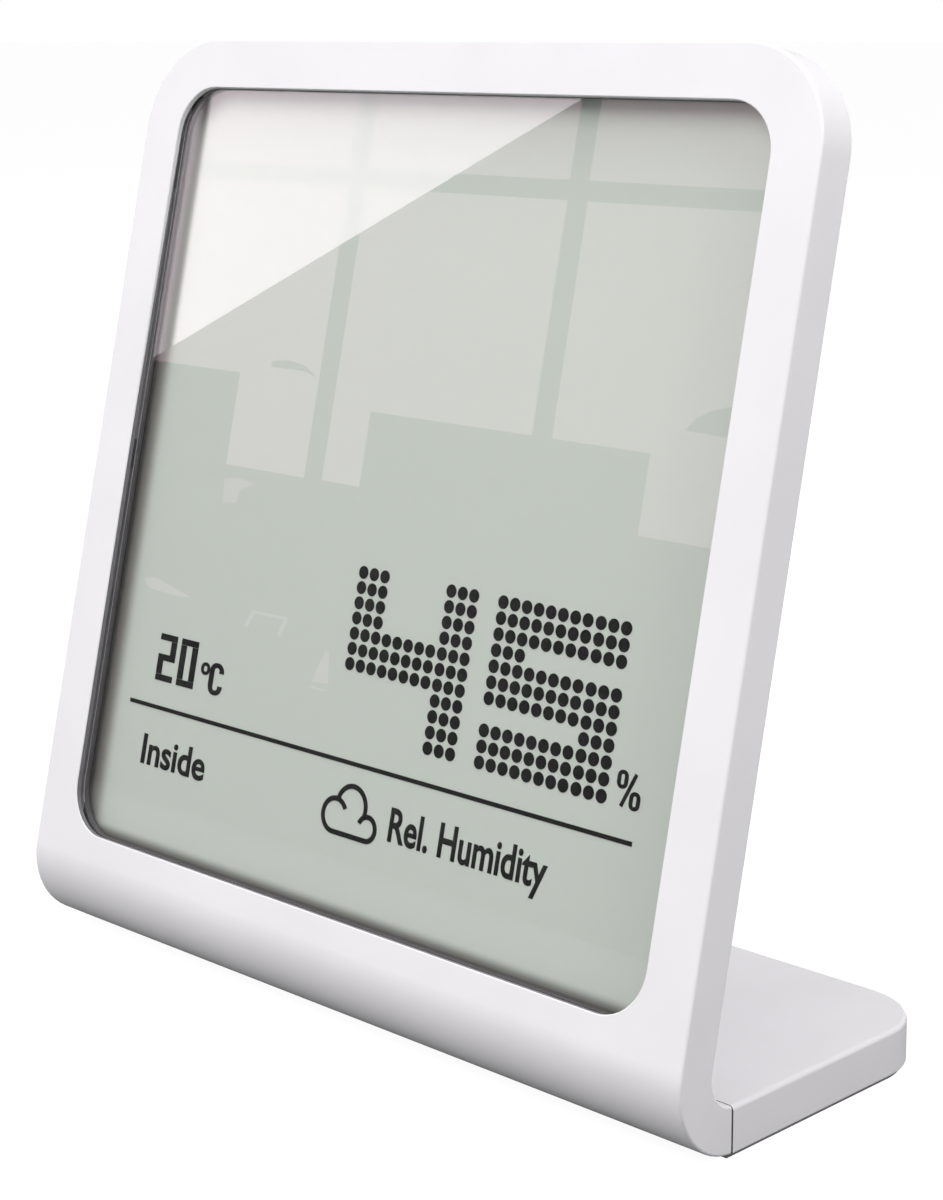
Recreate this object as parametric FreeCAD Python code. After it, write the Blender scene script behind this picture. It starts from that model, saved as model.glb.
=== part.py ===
# Desk hygrometer: a leaning display panel bent into a flat foot.
# Millimetres. +Z up, the table is z = 0, the display faces -Y and the foot reaches to +Y.
import FreeCAD, Part
import math
import os

Vec = FreeCAD.Vector

# Overall form
plate_width = 90.0
overall_height = 95.0
overall_depth = 38.0
lean_angle = 12.5
bend_outer_radius = 7.5
panel_corner_radius = 9.5
foot_corner_radius = 7.5
housing_edge_round = 0.28
foot_edge_round = 0.45
foot_lower_round = 0.2
seam_setback = 0.5
seam_gap = 0.14

# Section of the foot; the panel and the bend are as thick as the foot
base_thickness = 0.8
room_height = 2.55
foot_top_skin = 1.0
foot_side_wall = 1.2
base_fit = 0.1

# Window and walls of the housing
border_side = 5.35
border_top = 5.2
border_bottom = 2.6
window_corner_radius = 5.0
window_bevel = 0.08
front_skin = 0.6
panel_side_wall = 2.6
panel_top_wall = 2.55
pocket_corner_radius = 3.0
bend_front_wall = 1.1
bend_rear_wall = 1.0
cover_rim = 1.2
cover_opening_bottom = 3.0
cover_thickness = 0.85
cover_fit = 0.1

# Lens, gasket and liquid crystal cell, each as a thickness in the order of the stack
tape_thickness = 0.1
lens_thickness = 0.7
gasket_thickness = 0.65
polariser_thickness = 0.1
glass_thickness = 0.42
crystal_gap = 0.05
reflector_thickness = 0.12
foam_gap = 0.05
lens_overlap = 1.2
tape_inset = 0.25
gasket_edge_gap = 0.2
gasket_opening_gap = 0.05
gasket_bottom = 0.3
glass_side_margin = 1.35
glass_top_margin = 1.6
glass_bottom_margin = 0.7
ledge_height = 1.85
polariser_inset = 0.3
seal_width = 0.8
foam_inset = 1.0

# Snap hooks of the back cover
hook_length = 6.0
hook_proud = 0.35
hook_thickness = 0.4
hook_clearance = 0.05
hook_root = 1.0
hook_heights = (20.0, 66.0)

# Display symbols, placed from the window's edges and from the dividing line
divider_rise = 14.52
divider_inset_left = 3.9
divider_inset_right = 5.45
divider_stroke = 0.42
dot_pitch = 1.4935
dot_radius = 0.635
digit_columns = 11
shifted_columns = 3
column_shift = 0.067
digits_from_right = 24.68
digits_advance = 18.77
digits_rise = 18.3
digit_four = (
    "###.....###",
    "###.....###",
    "###.....###",
    "###.....###",
    "###########",
    "###########",
    "###########",
    "........###",
    "........###",
    "........###",
    "........###",
)
digit_five = (
    "###########",
    "###########",
    "###########",
    "###........",
    "###########",
    "###########",
    "###########",
    "........###",
    "###########",
    "###########",
    "###########",
)
small_digits_from_left = 7.35
small_digit_advance = 3.42
small_digit_width = 2.7
small_digit_rise = 2.78
small_digit_height = 4.9
small_side_stroke = 0.88
small_end_stroke = 0.66
stroke_gap = 0.03
sign_side_stroke = 0.42
sign_end_stroke = 0.36
degree_ring_from_left = 14.35
degree_ring_rise = 4.56
degree_ring_width = 1.38
degree_ring_height = 1.3
degree_ring_corner = 0.62
degree_letter_from_left = 15.75
degree_letter_rise = 2.78
degree_letter_width = 2.2
degree_letter_height = 3.3
degree_letter_corner = 1.0
letter_side_stroke = 0.72
letter_end_stroke = 0.5
letter_opening_low = 1.0
letter_opening_high = 2.3
percent_from_right = 8.15
percent_rise = 2.83
percent_width = 2.9
percent_height = 3.3
percent_ring_width = 1.24
percent_ring_height = 1.65
percent_ring_corner = 0.58
percent_bar_inset = 0.75
percent_bar_stroke = 0.36
cloud_stroke = 0.5
cloud_middle = -0.7
cloud_drop = 7.12
cloud_base_height = 2.1
cloud_lobes = ((-2.05, 1.85, 1.85), (0.1, 3.05, 2.22), (2.55, 1.4, 1.4))
cloud_tails = ((0, 31.0, 90.0), (2, 90.0, 162.0))

# Screws that hold the base; the front pair also holds the housing's tabs
front_screw_side_inset = 12.0
front_screw_seam_inset = 3.6
rear_screw_side_inset = 5.2
rear_screw_seam_inset = 15.0
boss_radius = 1.9
tab_width = 8.0
tab_reach = 5.6
tab_root = 1.5
tab_thickness = 0.8
screw_thread_radius = 0.75
screw_hole_clearance = 0.15
thread_fit = 0.02
screw_head_radius = 1.45
screw_head_height = 0.45
screw_head_sink = 0.05
screw_head_clearance = 0.12
screw_length = 3.0
screw_slot_width = 0.4
screw_slot_depth = 0.2

# Pads under the foot
pad_proud = 0.4
pad_radius = 2.5
pad_recess = 0.3
pad_fit = 0.1
pad_side_inset = 7.0
pad_seam_inset = 3.3
pad_rear_inset = 6.0

# Coin cell and its door
cell_side_inset = 24.0
cell_rear_inset = 13.3
cell_radius = 10.0
cell_height = 1.6
cell_float = 0.1
cell_clearance = 0.3
can_wall = 0.25
can_lip = 1.1
cell_gasket = 0.35
door_ring_wall = 0.9
door_ring_height = 0.55
door_fit = 0.1
lug_reach = 1.2
lug_height = 0.5
lug_lift = 0.05
lug_root = 0.3
lug_span = 24.0
notch_span = 30.0
notch_root = 1.0
lug_angles = (90.0, 210.0, 330.0)
door_turn = 45.0
coin_slot_length = 13.0
coin_slot_width = 1.8
coin_slot_depth = 0.4

# Battery contacts and leads; the leads' runs are placed from the cell's middle
strip_thickness = 0.15
clip_width = 4.0
clip_gap = 0.05
clip_foot_length = 2.8
clip_hem = 0.1
leaf_width = 3.0
leaf_flange_reach = 11.9
leaf_flange_length = 3.2
leaf_tip_reach = 2.5
leaf_tip_gap = 0.05
leaf_tip_length = 1.0
lead_diameter = 0.55
red_route = ((11.7, -1.3), (13.4, 2.9), (18.6, 4.7))
black_route = ((1.8, 11.4), (9.0, 11.4), (14.4, 7.9), (19.0, 6.9))

# Board in the foot and its ribbon; the ribbon is placed from the board's middle
board_cell_gap = 16.0
board_side_gap = 8.0
board_seam_gap = 8.0
board_rear_gap = 1.8
board_thickness = 0.6
post_radius = 1.2
post_inset = 2.0
post_pin_radius = 0.6
post_pin_clearance = 0.1
post_pin_proud = 0.2
ribbon_offset = -4.0
ribbon_width = 20.0
ribbon_thickness = 0.1
ribbon_lift = 0.02
ribbon_bond = 1.6
ribbon_overlap = 2.0
connector_length = 3.6
connector_setback = 0.3
connector_margin = 1.5
connector_gap = 0.05
connector_slot_clearance = 0.03

# Parts on the board, placed from the board's middle
chip_place = (-6.0, 0.0)
chip_size = 6.0
chip_height = 0.75
chip_mark_inset = 1.0
chip_mark_radius = 0.3
chip_mark_depth = 0.1
crystal_place = (2.5, 3.5)
crystal_length = 3.2
crystal_width = 1.5
crystal_height = 0.8
capacitor_places = ((-12.5, -2.0), (-12.5, 1.0), (0.0, -2.0), (4.0, -4.5), (15.0, 0.0))
resistor_places = ((-10.5, 5.0), (-7.5, 5.0), (-4.5, 5.0), (6.0, 6.0), (15.0, 3.0))
passive_length = 1.0
passive_width = 0.5
passive_height = 0.4
passive_cap = 0.22
passive_cap_proud = 0.02
sensor_offset = 2.0
sensor_rear_inset = 2.4
sensor_size = 2.5
sensor_height = 0.75
sensor_port_radius = 0.5
sensor_port_depth = 0.3

# Vents in the foot's rear wall, behind the sensor
vent_count = 9
vent_pitch = 2.4
vent_width = 1.2
vent_sill = 0.35
vent_height = 1.7

# Unit button and its switch, placed from the board's middle
button_place = (11.0, -1.5)
button_radius = 2.6
button_fit = 0.1
button_sink = 0.1
button_flange = 0.7
button_flange_height = 0.2
button_dish_radius = 9.0
button_dish_depth = 0.2
switch_size = 4.5
plunger_radius = 1.0
plunger_gap = 0.05
plunger_proud = 0.3
plunger_inside = 0.2
plunger_fit = 0.05
plunger_travel_room = 0.28

# How far a cutting tool runs past the faces that it cuts, and how far a boss sinks into its skin
cut_over = 1.0
join = 0.1
match = 0.001
sharp_angle = 30.0

# Worked out from the sizes above
half_width = plate_width / 2.0
lean = math.radians(lean_angle)
plate_thickness = base_thickness + room_height + foot_top_skin
underside = pad_proud
bend_y = -overall_depth / 2.0 + bend_outer_radius
bend_z = underside + bend_outer_radius
bend_sweep = 90.0 + lean_angle
panel_root = Vec(
    0.0,
    bend_y - bend_outer_radius * math.cos(lean),
    bend_z + bend_outer_radius * math.sin(lean),
)
panel_top = (overall_height - panel_root.z) / math.cos(lean)
seam_y = bend_y - seam_setback
foot_front = seam_y + seam_gap
foot_rear = overall_depth / 2.0
foot_top = underside + plate_thickness
window_half = half_width - border_side
window_top = panel_top - border_top
room_floor = underside + base_thickness
room_roof = foot_top - foot_top_skin
room_half = half_width - foot_side_wall
room_rear = foot_rear - foot_side_wall
tape_front = front_skin
lens_front = tape_front + tape_thickness
gasket_front = lens_front + lens_thickness
polariser_front = gasket_front + gasket_thickness
front_glass_front = polariser_front + polariser_thickness
crystal_front = front_glass_front + glass_thickness
rear_glass_front = crystal_front + crystal_gap
reflector_front = rear_glass_front + glass_thickness
foam_front = reflector_front + reflector_thickness
cover_front = plate_thickness - cover_thickness
foam_thickness = cover_front - foam_gap - foam_front
pocket_half = half_width - panel_side_wall
pocket_top = panel_top - panel_top_wall
glass_half = window_half + glass_side_margin
glass_top = window_top + glass_top_margin
front_glass_bottom = border_bottom - glass_bottom_margin
rear_glass_bottom = front_glass_bottom - ledge_height
divider_height = border_bottom + divider_rise
screw_places = []
pad_places = []
for side in (-1.0, 1.0):
    screw_places.append(
        (side * (half_width - front_screw_side_inset), seam_y + front_screw_seam_inset, True)
    )
    screw_places.append(
        (side * (half_width - rear_screw_side_inset), seam_y + rear_screw_seam_inset, False)
    )
    pad_places.append((side * (half_width - pad_side_inset), seam_y + pad_seam_inset))
    pad_places.append((side * (half_width - pad_side_inset), foot_rear - pad_rear_inset))
cell_x = cell_side_inset - half_width
cell_y = room_rear - cell_rear_inset
door_ring_inner = cell_radius + cell_clearance
door_radius = door_ring_inner + door_ring_wall
cell_bottom = room_floor + cell_float
cell_top = cell_bottom + cell_height
ribbon_top = underside + rear_glass_front
ribbon_low = ribbon_top - ribbon_thickness
board_top = ribbon_low - ribbon_lift
board_underside = board_top - board_thickness
board_left = cell_x + board_cell_gap
board_right = half_width - board_side_gap
board_front = seam_y + board_seam_gap
board_rear = room_rear - board_rear_gap
board_x = (board_left + board_right) / 2.0
board_y = (board_front + board_rear) / 2.0
sensor_place = (sensor_offset, board_rear - sensor_rear_inset - board_y)
ribbon_x = board_x + ribbon_offset
post_places = (
    (board_left + post_inset, board_rear - post_inset),
    (board_right - post_inset, board_rear - post_inset),
    (board_right - post_inset, board_front + post_inset),
)
ribbon_end = board_front + ribbon_overlap
button_x = board_x + button_place[0]
button_y = board_y + button_place[1]
flange_top = room_floor + button_flange_height
plunger_low = flange_top + plunger_gap
switch_floor = plunger_low + plunger_proud


def save(name, shapes):
    """Write one node, a single solid or a group of like solids."""
    group = shapes if isinstance(shapes, list) else [shapes]
    body = group[0] if len(group) == 1 else Part.makeCompound(group)
    body.exportStep("parts/" + name + ".step")


def block(x0, x1, y0, y1, z0, z1):
    """A plain box between two corners, its ends given in either order."""
    return Part.makeBox(
        abs(x1 - x0), abs(y1 - y0), abs(z1 - z0), Vec(min(x0, x1), min(y0, y1), min(z0, z1))
    )


def disc(x, y, z0, z1, radius):
    """An upright round piece between two heights."""
    return Part.makeCylinder(radius, z1 - z0, Vec(x, y, z0), Vec(0, 0, 1))


def rounded_outline(x0, x1, z0, z1, radius, y):
    """A closed rectangle with round corners, standing at depth y."""
    centres = (
        (x1 - radius, z1 - radius),
        (x0 + radius, z1 - radius),
        (x0 + radius, z0 + radius),
        (x1 - radius, z0 + radius),
    )
    arcs = []
    for quarter, (centre_x, centre_z) in enumerate(centres):
        points = []
        for turn in (0.0, 0.5, 1.0):
            angle = (quarter + turn) * math.pi / 2.0
            points.append(
                Vec(centre_x + radius * math.cos(angle), y, centre_z + radius * math.sin(angle))
            )
        arcs.append(points)
    outline = []
    for index, points in enumerate(arcs):
        following = arcs[(index + 1) % len(arcs)]
        outline.append(Part.Arc(points[0], points[1], points[2]).toShape())
        outline.append(Part.LineSegment(points[2], following[0]).toShape())
    return Part.Wire(outline)


def slab(x0, x1, z0, z1, radius, y0, y1):
    """A plate with round corners, from depth y0 to y1, upright before it is leaned back."""
    face = Part.Face(rounded_outline(x0, x1, z0, z1, radius, y0))
    return face.extrude(Vec(0, y1 - y0, 0))


def box_slab(x0, x1, z0, z1, y0, y1):
    """A plate with square corners, upright before it is leaned back."""
    return block(x0, x1, y0, y1, z0, z1)


def lean_back(shape):
    """Turn a piece of the panel from upright to its place on the slope."""
    placed = shape.copy()
    placed.rotate(Vec(0, 0, 0), Vec(1, 0, 0), -lean_angle)
    placed.translate(panel_root)
    return placed


def bend_point(radius, angle):
    """A point round the bend's centre; 0 points out of the display's face."""
    sweep = math.radians(180.0 - lean_angle + angle)
    return Vec(0.0, bend_y + radius * math.cos(sweep), bend_z + radius * math.sin(sweep))


def slope_point(height, depth):
    """A point of the panel's section at a height up the slope and a depth behind its face."""
    return Vec(
        0.0,
        panel_root.y + height * math.sin(lean) + depth * math.cos(lean),
        panel_root.z + height * math.cos(lean) - depth * math.sin(lean),
    )


def bent_strip(outer_depth, inner_depth, top, foot_end, x0, x1):
    """A strip that comes down the panel, goes round the bend and runs on into the foot."""
    outer = bend_outer_radius - outer_depth
    inner = bend_outer_radius - inner_depth
    middle = bend_sweep / 2.0
    points = [
        slope_point(top, outer_depth),
        slope_point(0.0, outer_depth),
        Vec(0.0, bend_y, bend_z - outer),
        Vec(0.0, foot_end, bend_z - outer),
        Vec(0.0, foot_end, bend_z - inner),
        Vec(0.0, bend_y, bend_z - inner),
        slope_point(0.0, inner_depth),
        slope_point(top, inner_depth),
    ]
    edges = [
        Part.LineSegment(points[0], points[1]).toShape(),
        Part.Arc(points[1], bend_point(outer, middle), points[2]).toShape(),
        Part.LineSegment(points[2], points[3]).toShape(),
        Part.LineSegment(points[3], points[4]).toShape(),
        Part.LineSegment(points[4], points[5]).toShape(),
        Part.Arc(points[5], bend_point(inner, middle), points[6]).toShape(),
        Part.LineSegment(points[6], points[7]).toShape(),
        Part.LineSegment(points[7], points[0]).toShape(),
    ]
    strip = Part.Face(Part.Wire(edges)).extrude(Vec(x1 - x0, 0, 0))
    strip.translate(Vec(x0, 0, 0))
    return strip


def sharp_edges(shape, plane_y):
    """Edges where two faces meet at an angle, leaving out those that lie in one upright plane."""
    found = []
    for edge in shape.Edges:
        box = edge.BoundBox
        if abs(box.YMin - plane_y) < match and box.YLength < match:
            continue
        middle = edge.valueAt((edge.FirstParameter + edge.LastParameter) / 2.0)
        normals = []
        for face in shape.Faces:
            if any(edge.isSame(border) for border in face.Edges):
                u, v = face.Surface.parameter(middle)
                normals.append(face.normalAt(u, v))
        if len(normals) == 2 and math.degrees(normals[0].getAngle(normals[1])) > sharp_angle:
            found.append(edge)
    return found


def make_front_housing():
    """Bent plate with the window, the pocket for the display and two screw tabs."""
    far = plate_width + overall_height
    plate = bent_strip(0.0, plate_thickness, panel_top, bend_y + cut_over, -half_width, half_width)
    outline = slab(-half_width, half_width, -far, panel_top, panel_corner_radius, -far, far)
    body = plate.common(lean_back(outline))
    body = body.cut(block(-far, far, seam_y, far, 0.0, bend_z)).removeSplitter()
    body = body.makeFillet(housing_edge_round, sharp_edges(body, seam_y))
    cover_half = half_width - cover_rim
    cover_radius = panel_corner_radius - cover_rim
    cover_back = plate_thickness + cut_over
    pocket = slab(
        -pocket_half, pocket_half, 0.0, pocket_top, pocket_corner_radius, front_skin, cover_front
    )
    pocket_foot = box_slab(
        -pocket_half, pocket_half, 0.0, pocket_corner_radius, front_skin, cover_front
    )
    cover_room = slab(
        -cover_half,
        cover_half,
        cover_opening_bottom,
        panel_top - cover_rim,
        cover_radius,
        cover_front,
        cover_back,
    )
    cover_foot = box_slab(
        -cover_half,
        cover_half,
        cover_opening_bottom,
        cover_opening_bottom + cover_radius,
        cover_front,
        cover_back,
    )
    window = slab(
        -window_half,
        window_half,
        border_bottom,
        window_top,
        window_corner_radius,
        -cut_over,
        front_skin + join,
    )
    wide = rounded_outline(
        -window_half - window_bevel,
        window_half + window_bevel,
        border_bottom - window_bevel,
        window_top + window_bevel,
        window_corner_radius + window_bevel,
        0.0,
    )
    narrow = rounded_outline(
        -window_half, window_half, border_bottom, window_top, window_corner_radius, window_bevel
    )
    bevel = Part.makeLoft([wide, narrow], True, True)
    for tool in (pocket, pocket_foot, cover_room, cover_foot, window, bevel):
        body = body.cut(lean_back(tool))
    duct = bent_strip(
        bend_front_wall,
        plate_thickness - bend_rear_wall,
        cover_opening_bottom,
        bend_y + cut_over,
        -pocket_half,
        pocket_half,
    )
    body = body.cut(duct)
    for height in hook_heights:
        for side in (-1.0, 1.0):
            slot = box_slab(
                side * (cover_half - join),
                side * (cover_half + hook_proud + hook_clearance),
                height - hook_clearance,
                height + hook_length + hook_clearance,
                cover_front,
                cover_front + hook_thickness + hook_clearance,
            )
            body = body.cut(lean_back(slot))
    for x, y, holds_tab in screw_places:
        if holds_tab:
            tab = block(
                x - tab_width / 2.0,
                x + tab_width / 2.0,
                seam_y - tab_root,
                seam_y + tab_reach,
                room_floor,
                room_floor + tab_thickness,
            )
            hole = disc(x, y, underside, foot_top, screw_thread_radius + screw_hole_clearance)
            body = body.fuse(tab).cut(hole)
    return body.removeSplitter()


def make_back_cover():
    """Flat cover let into the back of the panel, with four snap hooks on its sides."""
    reach = half_width - cover_rim - cover_fit
    low = cover_opening_bottom + cover_fit
    radius = panel_corner_radius - cover_rim - cover_fit
    top = panel_top - cover_rim - cover_fit
    plate = slab(-reach, reach, low, top, radius, cover_front, plate_thickness)
    square_foot = box_slab(-reach, reach, low, low + radius, cover_front, plate_thickness)
    body = plate.fuse(square_foot)
    for height in hook_heights:
        for side in (-1.0, 1.0):
            hook = box_slab(
                side * (reach - hook_root),
                side * (reach + cover_fit + hook_proud),
                height,
                height + hook_length,
                cover_front,
                cover_front + hook_thickness,
            )
            body = body.fuse(hook)
    return lean_back(body.removeSplitter())


def make_window_lens():
    """Clear flat lens, larger than the window, held behind its edge."""
    lens = slab(
        -window_half - lens_overlap,
        window_half + lens_overlap,
        border_bottom - lens_overlap,
        window_top + lens_overlap,
        window_corner_radius + lens_overlap,
        lens_front,
        gasket_front,
    )
    return lean_back(lens)


def window_hole(margin, y0, y1):
    """The window's outline, wider by a margin, as a cutting tool."""
    return slab(
        -window_half - margin,
        window_half + margin,
        border_bottom - margin,
        window_top + margin,
        window_corner_radius + margin,
        y0 - cut_over,
        y1 + cut_over,
    )


def make_lens_tape():
    """Thin double-sided tape frame between the window edge and the lens."""
    sheet = slab(
        -window_half - lens_overlap,
        window_half + lens_overlap,
        border_bottom - lens_overlap,
        window_top + lens_overlap,
        window_corner_radius + lens_overlap,
        tape_front,
        lens_front,
    )
    return lean_back(sheet.cut(window_hole(tape_inset, tape_front, lens_front)))


def make_display_gasket():
    """Dark frame that holds the display off the lens and hides its edges."""
    sheet = slab(
        gasket_edge_gap - pocket_half,
        pocket_half - gasket_edge_gap,
        gasket_bottom,
        pocket_top - gasket_edge_gap,
        pocket_corner_radius - gasket_edge_gap,
        gasket_front,
        polariser_front,
    )
    return lean_back(sheet.cut(window_hole(gasket_opening_gap, gasket_front, polariser_front)))


def glass_sheet(bottom, inset, y0, thickness):
    """One flat rectangular sheet of the display cell."""
    sheet = box_slab(
        inset - glass_half, glass_half - inset, bottom + inset, glass_top - inset, y0, y0 + thickness
    )
    return lean_back(sheet)


def make_edge_seal():
    """Seal that joins the two glasses all round."""
    solid = box_slab(
        -glass_half, glass_half, front_glass_bottom, glass_top, crystal_front, rear_glass_front
    )
    hole = box_slab(
        seal_width - glass_half,
        glass_half - seal_width,
        front_glass_bottom + seal_width,
        glass_top - seal_width,
        crystal_front - cut_over,
        rear_glass_front + cut_over,
    )
    return lean_back(solid.cut(hole))


def ink_disc(x, z, radius):
    """A round switched patch between the two glasses."""
    return Part.makeCylinder(radius, crystal_gap, Vec(x, crystal_front, z), Vec(0, 1, 0))


def ink_bar(x0, x1, z0, z1):
    """A straight switched bar between the two glasses."""
    return box_slab(x0, x1, z0, z1, crystal_front, rear_glass_front)


def ink_loop(x0, x1, z0, z1, corner, side_stroke, end_stroke):
    """A closed switched loop with round corners between the two glasses."""
    outer = slab(x0, x1, z0, z1, corner, crystal_front, rear_glass_front)
    inner = slab(
        x0 + side_stroke,
        x1 - side_stroke,
        z0 + end_stroke,
        z1 - end_stroke,
        corner - side_stroke,
        crystal_front,
        rear_glass_front,
    )
    return outer.cut(inner)


def ink_arc(x, z, radius, stroke, start, stop):
    """Part of a round switched ring, from one angle to another."""
    reach = 2.0 * radius
    corners = [Vec(x, crystal_front, z)]
    for angle in (math.radians(start), math.radians(stop)):
        corners.append(
            Vec(x + reach * math.cos(angle), crystal_front, z + reach * math.sin(angle))
        )
    wedge = Part.Face(Part.makePolygon(corners + corners[:1])).extrude(Vec(0, crystal_gap, 0))
    return ink_disc(x, z, radius).cut(ink_disc(x, z, radius - stroke)).common(wedge)


def make_large_dots():
    """Two large figures of round dots."""
    dots = []
    five_left = window_half - digits_from_right
    top = divider_height + digits_rise
    for left, pattern in ((five_left - digits_advance, digit_four), (five_left, digit_five)):
        for row, line in enumerate(pattern):
            for column, mark in enumerate(line):
                if mark == "#":
                    late = column >= digit_columns - shifted_columns
                    shift = column_shift if late else 0.0
                    x = left + column * dot_pitch + shift
                    dots.append(lean_back(ink_disc(x, top - row * dot_pitch, dot_radius)))
    return dots


def small_digit(left, strokes):
    """One small figure of bars; strokes names the bars that are on."""
    right = left + small_digit_width
    low = divider_height + small_digit_rise
    high = low + small_digit_height
    middle = (low + high) / 2.0
    half = small_end_stroke / 2.0
    inner_left = left + small_side_stroke
    inner_right = right - small_side_stroke
    inner_low = low + small_end_stroke + stroke_gap
    inner_high = high - small_end_stroke - stroke_gap
    bars = {
        "top": (left, right, high - small_end_stroke, high),
        "middle": (inner_left + stroke_gap, inner_right - stroke_gap, middle - half, middle + half),
        "bottom": (left, right, low, low + small_end_stroke),
        "left": (left, inner_left, inner_low, inner_high),
        "right": (inner_right, right, inner_low, inner_high),
        "lower_left": (left, inner_left, inner_low, middle + half),
        "upper_right": (inner_right, right, middle - half, inner_high),
    }
    return [lean_back(ink_bar(*bars[name])) for name in strokes]


def make_small_digits():
    """The small two-figure temperature."""
    first = small_digits_from_left - window_half
    two = small_digit(first, ("top", "upper_right", "middle", "lower_left", "bottom"))
    zero = small_digit(first + small_digit_advance, ("top", "left", "right", "bottom"))
    return two + zero


def make_degree_sign():
    """Degree ring and its letter, a loop that is open on its right side."""
    ring_left = degree_ring_from_left - window_half
    ring_low = divider_height + degree_ring_rise
    ring = ink_loop(
        ring_left,
        ring_left + degree_ring_width,
        ring_low,
        ring_low + degree_ring_height,
        degree_ring_corner,
        sign_side_stroke,
        sign_end_stroke,
    )
    left = degree_letter_from_left - window_half
    right = left + degree_letter_width
    low = divider_height + degree_letter_rise
    letter = ink_loop(
        left,
        right,
        low,
        low + degree_letter_height,
        degree_letter_corner,
        letter_side_stroke,
        letter_end_stroke,
    )
    opening = ink_bar(
        (left + right) / 2.0, right + cut_over, low + letter_opening_low, low + letter_opening_high
    )
    return [lean_back(ring), lean_back(letter.cut(opening))]


def make_percent_sign():
    """Two small upright loops and a slanting bar."""
    left = window_half - percent_from_right
    right = left + percent_width
    low = divider_height + percent_rise
    high = low + percent_height
    pieces = []
    for x0, z0 in ((left, high - percent_ring_height), (right - percent_ring_width, low)):
        loop = ink_loop(
            x0,
            x0 + percent_ring_width,
            z0,
            z0 + percent_ring_height,
            percent_ring_corner,
            sign_side_stroke,
            sign_end_stroke,
        )
        pieces.append(lean_back(loop))
    run = percent_width - 2.0 * percent_bar_inset
    middle = Vec((left + right) / 2.0, crystal_front, (low + high) / 2.0)
    half = percent_bar_stroke / 2.0
    bar = ink_bar(middle.x - half, middle.x + half, low, high)
    bar.rotate(middle, Vec(0, 1, 0), math.degrees(math.atan2(run, percent_height)))
    pieces.append(lean_back(bar))
    return pieces


def make_dividing_line():
    """Thin bar across the display under the figures."""
    half = divider_stroke / 2.0
    bar = ink_bar(
        divider_inset_left - window_half,
        window_half - divider_inset_right,
        divider_height - half,
        divider_height + half,
    )
    return lean_back(bar)


def cloud_form(shrink):
    """Three lobes over a flat base, made smaller all round by the stroke."""
    base = divider_height - cloud_drop
    form = ink_bar(
        cloud_middle + cloud_lobes[0][0],
        cloud_middle + cloud_lobes[-1][0],
        base + shrink,
        base + cloud_base_height,
    )
    for x, z, radius in cloud_lobes:
        form = form.fuse(ink_disc(cloud_middle + x, base + z, radius - shrink))
    return form.removeSplitter()


def make_cloud():
    """Outline of a small cloud; the lines of its outer lobes run on a little inside it."""
    outline = cloud_form(0.0).cut(cloud_form(cloud_stroke))
    base = divider_height - cloud_drop
    for index, start, stop in cloud_tails:
        x, z, radius = cloud_lobes[index]
        outline = outline.fuse(
            ink_arc(cloud_middle + x, base + z, radius, cloud_stroke, start, stop)
        )
    return lean_back(outline.removeSplitter())


def make_ribbon():
    """Flat ribbon from the rear glass's ledge, round the bend, to the board."""
    left = ribbon_x - ribbon_width / 2.0
    front = rear_glass_front - ribbon_thickness
    return bent_strip(
        front, rear_glass_front, ribbon_bond, ribbon_end, left, left + ribbon_width
    )


def foot_outline(x_half, front, rear, radius, z0, z1):
    """A plate with two round rear corners."""
    points = [
        Vec(-x_half, front, z0),
        Vec(x_half, front, z0),
        Vec(x_half, rear - radius, z0),
        Vec(x_half - radius, rear, z0),
        Vec(radius - x_half, rear, z0),
        Vec(-x_half, rear - radius, z0),
    ]
    knee = radius * (1.0 - math.sqrt(0.5))
    edges = [
        Part.LineSegment(points[0], points[1]).toShape(),
        Part.LineSegment(points[1], points[2]).toShape(),
        Part.Arc(points[2], Vec(x_half - knee, rear - knee, z0), points[3]).toShape(),
        Part.LineSegment(points[3], points[4]).toShape(),
        Part.Arc(points[4], Vec(knee - x_half, rear - knee, z0), points[5]).toShape(),
        Part.LineSegment(points[5], points[0]).toShape(),
    ]
    return Part.Face(Part.Wire(edges)).extrude(Vec(0, 0, z1 - z0))


def make_foot_shell():
    """Upper moulding of the foot: top skin, sides and rear wall, screw bosses and board posts."""
    body = foot_outline(half_width, foot_front, foot_rear, foot_corner_radius, underside, foot_top)
    for height, radius in ((foot_top, foot_edge_round), (underside, foot_lower_round)):
        rim = []
        for edge in sharp_edges(body, foot_front):
            box = edge.BoundBox
            if abs(box.ZMin - height) < match and box.ZLength < match:
                rim.append(edge)
        body = body.makeFillet(radius, rim)
    room = foot_outline(
        room_half,
        foot_front - cut_over,
        room_rear,
        foot_corner_radius - foot_side_wall,
        underside - cut_over,
        room_roof,
    )
    body = body.cut(room)
    for x, y, holds_tab in screw_places:
        low = room_floor + tab_thickness if holds_tab else room_floor
        body = body.fuse(disc(x, y, low, room_roof + join, boss_radius))
        body = body.cut(disc(x, y, underside, room_roof, screw_thread_radius + thread_fit))
    for x, y in post_places:
        body = body.fuse(disc(x, y, board_top, room_roof + join, post_radius))
        body = body.fuse(
            disc(x, y, board_underside - post_pin_proud, board_top + join, post_pin_radius)
        )
    first_vent = board_x + sensor_place[0] - vent_pitch * (vent_count - 1) / 2.0
    for index in range(vent_count):
        x = first_vent + index * vent_pitch
        slot = block(
            x - vent_width / 2.0,
            x + vent_width / 2.0,
            room_rear - cut_over,
            foot_rear + cut_over,
            room_floor + vent_sill,
            room_floor + vent_sill + vent_height,
        )
        body = body.cut(slot)
    return body.removeSplitter()


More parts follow.
